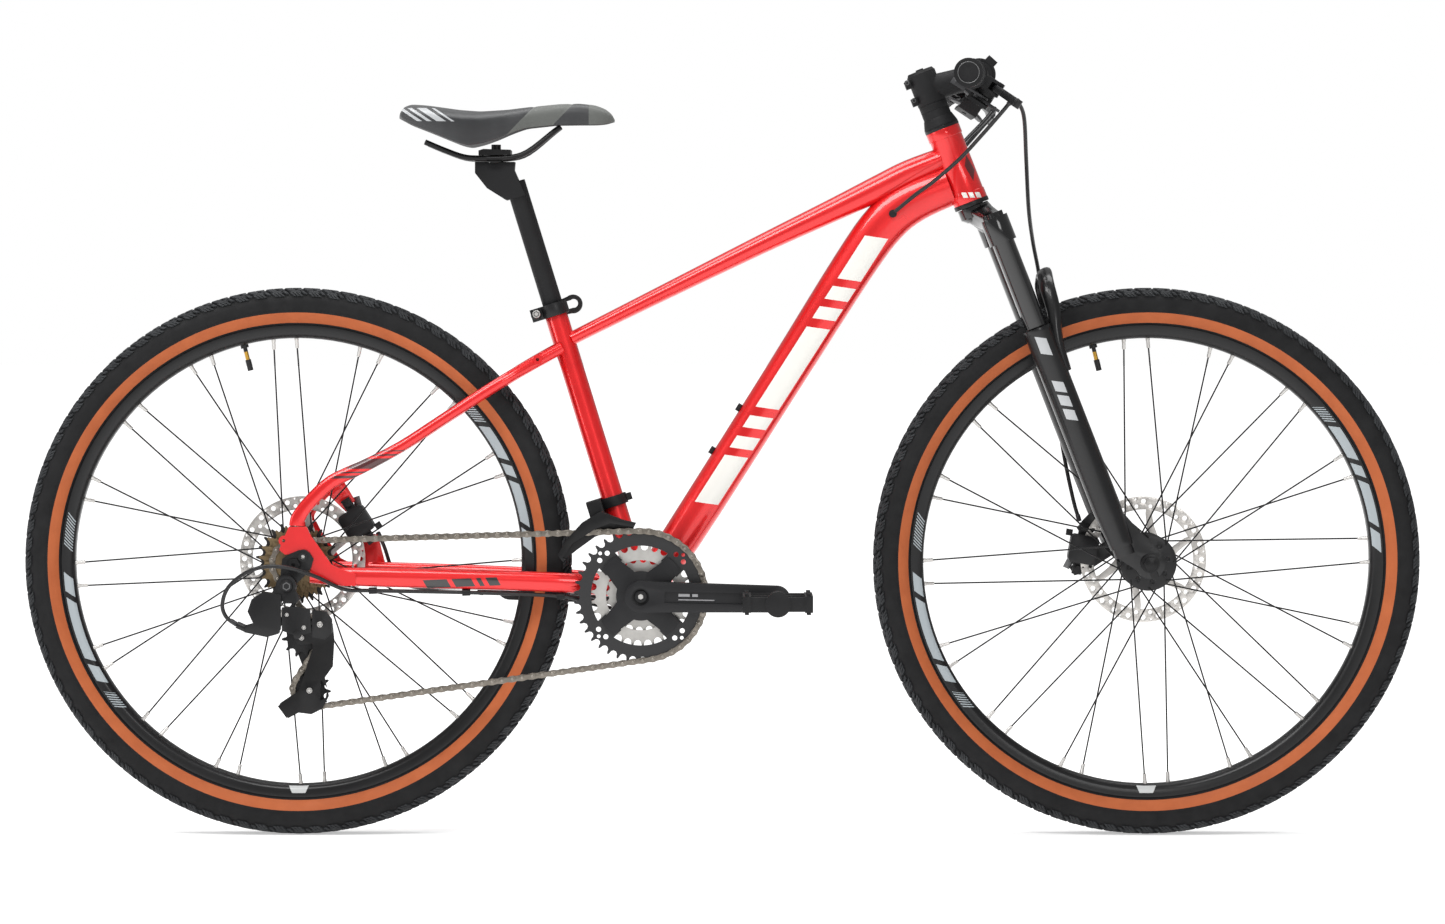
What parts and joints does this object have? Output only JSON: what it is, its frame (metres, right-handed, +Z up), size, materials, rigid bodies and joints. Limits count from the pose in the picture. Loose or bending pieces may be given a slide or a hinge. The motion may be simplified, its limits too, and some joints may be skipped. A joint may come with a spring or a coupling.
{
  "type": "mountain bicycle",
  "caption": "Hardtail mountain bicycle with a red welded frame, black suspension fork, disc brakes, derailleur gears, flat handlebar and padded saddle.",
  "frame": {"origin": "on the ground midway between the two tyres' contact points, in the bicycle's centre plane", "axes": "+X forwards, +Y to the rider's left, +Z up; the chain side is at -Y"},
  "size_m": [1.76, 0.6876, 0.9814],
  "materials": {
    "frame_paint": "gloss red paint",
    "black_paint": "satin black paint",
    "black_steel": "satin black",
    "black_gloss": "gloss black",
    "tyre": "knobbly black tread with a tan sidewall band",
    "tube_rubber": "plain black",
    "rim_black": "satin black with plain grey blocks",
    "spoke_black": "black with silver nipples",
    "rotor_steel": "ground",
    "sprocket_steel": "brown plated, largest black",
    "chain_steel": "oiled",
    "ring_steel": "black outer ring, silver inner rings",
    "cable_skin": "satin black",
    "grip_rubber": "ribbed",
    "saddle_cover": "grey and black panels",
    "black_plastic": "satin",
    "cage_steel": "dark plated"
  },
  "bodies": {
    "frame": {"head_tube": "frame_paint", "top_tube": "frame_paint", "down_tube": "frame_paint", "seat_tube": "frame_paint", "chainstays": "frame_paint", "seatstays": "frame_paint", "headset_cups": "black_steel", "bb_unit": "black_steel", "seat_collar": "black_paint", "frame_fittings": "black_plastic", "rear_axle": "black_steel", "mech_mount": "black_steel", "rear_caliper": "black_paint", "rear_cables": "cable_skin", "bar_cables": "cable_skin", "chain": "chain_steel"},
    "steering": {"fork_upper": "black_steel", "stem": "black_paint", "handlebar": "black_paint", "grips": "grip_rubber", "controls": "black_plastic", "front_brake_cable": "cable_skin"},
    "fork_lower": {"fork_lowers": "black_paint", "front_axle": "black_steel", "front_caliper": "black_paint"},
    "front_wheel": {"front_tyre": "tyre", "front_inner_tube": "tube_rubber", "front_rim": "rim_black", "front_spokes": "spoke_black", "front_hub": "black_paint", "front_rotor": "rotor_steel"},
    "rear_wheel": {"rear_tyre": "tyre", "rear_inner_tube": "tube_rubber", "rear_rim": "rim_black", "rear_spokes": "spoke_black", "rear_hub": "black_paint", "rear_rotor": "rotor_steel"},
    "freewheel": {"freewheel": "sprocket_steel"},
    "crank": {"crankset": "black_paint", "chainrings": "ring_steel"},
    "pedal_r": {"pedal_right": "black_plastic"},
    "pedal_l": {"pedal_left": "black_plastic"},
    "lever_r": {"brake_lever_right": "black_paint"},
    "lever_l": {"brake_lever_left": "black_paint"},
    "thumb_r": {"shift_thumb_right": "black_plastic"},
    "release_r": {"shift_release_right": "black_plastic"},
    "thumb_l": {"shift_thumb_left": "black_plastic"},
    "release_l": {"shift_release_left": "black_plastic"},
    "front_arm": {"front_brake_arm": "black_paint"},
    "rear_arm": {"rear_brake_arm": "black_paint"},
    "post": {"seatpost": "black_paint"},
    "saddle": {"saddle_rails": "black_steel", "saddle": "saddle_cover"},
    "seat_lever": {"seat_clamp_lever": "black_paint"},
    "mech_swing": {"mech_links": "black_paint"},
    "knuckle": {"mech_knuckle": "black_paint"},
    "cage": {"mech_cage": "black_steel"},
    "guide": {"guide_pulley": "black_plastic"},
    "tension": {"tension_pulley": "black_plastic"},
    "front_mech": {"front_mech_cage": "cage_steel"}
  },
  "joints": [
    {"name": "steering", "type": "hinge", "parent": "frame", "child": "steering", "pos_m": [0.3127, 0, 0.7982], "axis": [-0.3649, 0, 0.9311], "range_deg": [-60, 60], "deforming": ["bar_cables"]},
    {"name": "fork_travel", "type": "slide", "parent": "steering", "child": "fork_lower", "axis": [-0.3649, 0, 0.9311], "range_m": [0, 0.1], "stiffness_N_per_m": 9000, "springref_m": -0.012, "deforming": ["front_brake_cable"]},
    {"name": "front_wheel_spin", "type": "hinge", "parent": "fork_lower", "child": "front_wheel", "pos_m": [0.535, 0, 0.345], "axis": [0, 1, 0], "continuous": true},
    {"name": "rear_wheel_spin", "type": "hinge", "parent": "frame", "child": "rear_wheel", "pos_m": [-0.535, 0, 0.345], "axis": [0, 1, 0], "continuous": true},
    {"name": "crank_spin", "type": "hinge", "parent": "frame", "child": "crank", "pos_m": [-0.102, 0, 0.305], "axis": [0, 1, 0], "continuous": true, "deforming": ["chain"]},
    {"name": "freewheel_spin", "type": "hinge", "parent": "frame", "child": "freewheel", "pos_m": [-0.535, 0, 0.345], "axis": [0, 1, 0], "continuous": true},
    {"name": "pedal_right_spin", "type": "hinge", "parent": "crank", "child": "pedal_r", "pos_m": [0.06797, 0, 0.30203], "axis": [0, 1, 0], "continuous": true},
    {"name": "pedal_left_spin", "type": "hinge", "parent": "crank", "child": "pedal_l", "pos_m": [-0.27197, 0, 0.30797], "axis": [0, 1, 0], "continuous": true},
    {"name": "brake_lever_left", "type": "hinge", "parent": "steering", "child": "lever_l", "pos_m": [0.3358, 0.18712, 0.93075], "axis": [0.543, 0.0773, 0.8362], "range_deg": [0, 18], "stiffness_Nm_per_rad": 0.6, "springref_deg": -8.59},
    {"name": "brake_lever_right", "type": "hinge", "parent": "steering", "child": "lever_r", "pos_m": [0.3358, -0.18712, 0.93075], "axis": [-0.543, 0.0773, -0.8362], "range_deg": [0, 18], "stiffness_Nm_per_rad": 0.6, "springref_deg": -8.59},
    {"name": "shift_thumb_left", "type": "hinge", "parent": "steering", "child": "thumb_l", "pos_m": [0.32743, 0.14853, 0.93975], "axis": [-0.543, -0.0773, -0.8362], "range_deg": [0, 30], "stiffness_Nm_per_rad": 0.2, "springref_deg": -5.73},
    {"name": "shift_thumb_right", "type": "hinge", "parent": "steering", "child": "thumb_r", "pos_m": [0.32743, -0.14853, 0.93975], "axis": [0.543, -0.0773, 0.8362], "range_deg": [0, 30], "stiffness_Nm_per_rad": 0.2, "springref_deg": -5.73},
    {"name": "shift_release_left", "type": "hinge", "parent": "steering", "child": "release_l", "pos_m": [0.32743, 0.14853, 0.93975], "axis": [0.543, 0.0773, 0.8362], "range_deg": [0, 15], "stiffness_Nm_per_rad": 0.2, "springref_deg": -5.73},
    {"name": "shift_release_right", "type": "hinge", "parent": "steering", "child": "release_r", "pos_m": [0.32743, -0.14853, 0.93975], "axis": [-0.543, 0.0773, -0.8362], "range_deg": [0, 15], "stiffness_Nm_per_rad": 0.2, "springref_deg": -5.73},
    {"name": "front_brake_arm", "type": "hinge", "parent": "fork_lower", "child": "front_arm", "pos_m": [0.4555, 0, 0.3584], "axis": [0, 1, 0], "range_deg": [-30, 0], "stiffness_Nm_per_rad": 0.5, "springref_deg": 11.46},
    {"name": "rear_brake_arm", "type": "hinge", "parent": "frame", "child": "rear_arm", "pos_m": [-0.4635, 0, 0.393], "axis": [0, 1, 0], "range_deg": [-30, 0], "stiffness_Nm_per_rad": 0.5, "springref_deg": 11.46},
    {"name": "seatpost_height", "type": "slide", "parent": "frame", "child": "post", "axis": [-0.294, 0, 0.9558], "range_m": [-0.11, 0.07]},
    {"name": "saddle_tilt", "type": "hinge", "parent": "post", "child": "saddle", "pos_m": [-0.286, 0, 0.862], "axis": [0, 1, 0], "range_deg": [-10, 10]},
    {"name": "seat_clamp_lever", "type": "hinge", "parent": "frame", "child": "seat_lever", "pos_m": [-0.23491, 0.018, 0.65541], "axis": [-0.294, 0, 0.9558], "range_deg": [0, 150]},
    {"name": "mech_shift", "type": "hinge", "parent": "frame", "child": "mech_swing", "pos_m": [-0.552, -0.096, 0.268], "axis": [0.545, 0, 0.8384], "range_deg": [0, 36], "stiffness_Nm_per_rad": 1, "springref_deg": -17.19},
    {"name": "mech_knuckle", "type": "hinge", "parent": "mech_swing", "child": "knuckle", "pos_m": [-0.5104, -0.101, 0.274], "axis": [0.545, 0, 0.8384], "range_deg": [-36, 0]},
    {"name": "mech_cage_swing", "type": "hinge", "parent": "knuckle", "child": "cage", "pos_m": [-0.5, 0, 0.272], "axis": [0, 1, 0], "range_deg": [-30, 30], "stiffness_Nm_per_rad": 2},
    {"name": "guide_pulley_spin", "type": "hinge", "parent": "cage", "child": "guide", "pos_m": [-0.526, 0, 0.253], "axis": [0, 1, 0], "continuous": true},
    {"name": "tension_pulley_spin", "type": "hinge", "parent": "cage", "child": "tension", "pos_m": [-0.516, 0, 0.187], "axis": [0, 1, 0], "continuous": true},
    {"name": "front_mech_shift", "type": "slide", "parent": "frame", "child": "front_mech", "axis": [0, 1, 0], "range_m": [0, 0.016], "stiffness_N_per_m": 400, "springref_m": 0.004}
  ],
  "couplings": [
    {"joint": "freewheel_spin", "follows": "crank_spin", "ratio": 2.8571},
    {"joint": "guide_pulley_spin", "follows": "crank_spin", "ratio": -3.6364},
    {"joint": "tension_pulley_spin", "follows": "crank_spin", "ratio": 3.6364},
    {"joint": "mech_knuckle", "follows": "mech_shift", "ratio": -1}
  ]
}
